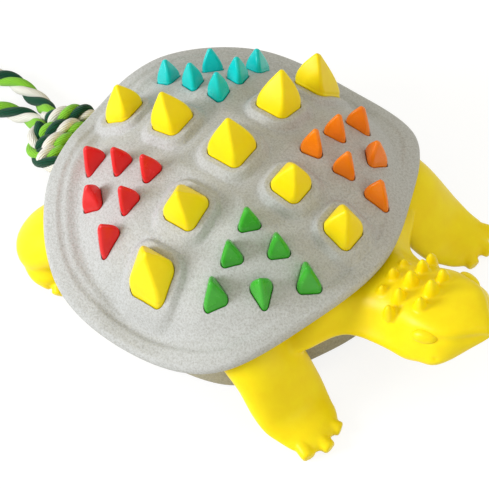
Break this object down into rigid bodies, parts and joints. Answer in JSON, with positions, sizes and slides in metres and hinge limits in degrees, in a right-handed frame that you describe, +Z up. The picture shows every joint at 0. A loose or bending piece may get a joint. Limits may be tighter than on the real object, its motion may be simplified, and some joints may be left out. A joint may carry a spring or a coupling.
{
  "type": "dog chew toy",
  "caption": "Turtle-shaped dog chew toy: domed shell with soft spikes and coloured rubber teeth over a rubber body, with a knotted rope loop at the tail.",
  "frame": {"origin": "on the floor, under the middle of the length from snout to tail lug", "axes": "+X towards the head, +Y to the toy's left, +Z up"},
  "size_m": [0.2687, 0.125, 0.0774],
  "materials": {
    "upper_shell": "fine sandblasted",
    "lower_shell": "fine sandblasted",
    "yellow": "semi-gloss",
    "red": "semi-gloss",
    "teal": "semi-gloss",
    "orange": "semi-gloss",
    "green": "semi-gloss",
    "rope": "three-strand twisted cotton"
  },
  "bodies": {
    "toy": {"upper_shell": "upper_shell", "lower_shell": "lower_shell", "body": "yellow", "red_tooth_1": "red", "red_tooth_2": "red", "red_tooth_3": "red", "red_tooth_4": "red", "red_tooth_5": "red", "red_tooth_6": "red", "teal_tooth_1": "teal", "teal_tooth_2": "teal", "teal_tooth_3": "teal", "teal_tooth_4": "teal", "teal_tooth_5": "teal", "teal_tooth_6": "teal", "orange_tooth_1": "orange", "orange_tooth_2": "orange", "orange_tooth_3": "orange", "orange_tooth_4": "orange", "orange_tooth_5": "orange", "orange_tooth_6": "orange", "green_tooth_1": "green", "green_tooth_2": "green", "green_tooth_3": "green", "green_tooth_4": "green", "green_tooth_5": "green", "green_tooth_6": "green"},
    "rope": {"rope_eye": "rope", "rope_knot": "rope", "rope_hand_loop": "rope"}
  },
  "joints": [
    {"name": "rope_swing", "type": "hinge", "parent": "toy", "child": "rope", "pos_m": [-0.0784, 0, 0.014], "axis": [0, 1, 0], "range_deg": [0, 60]}
  ]
}
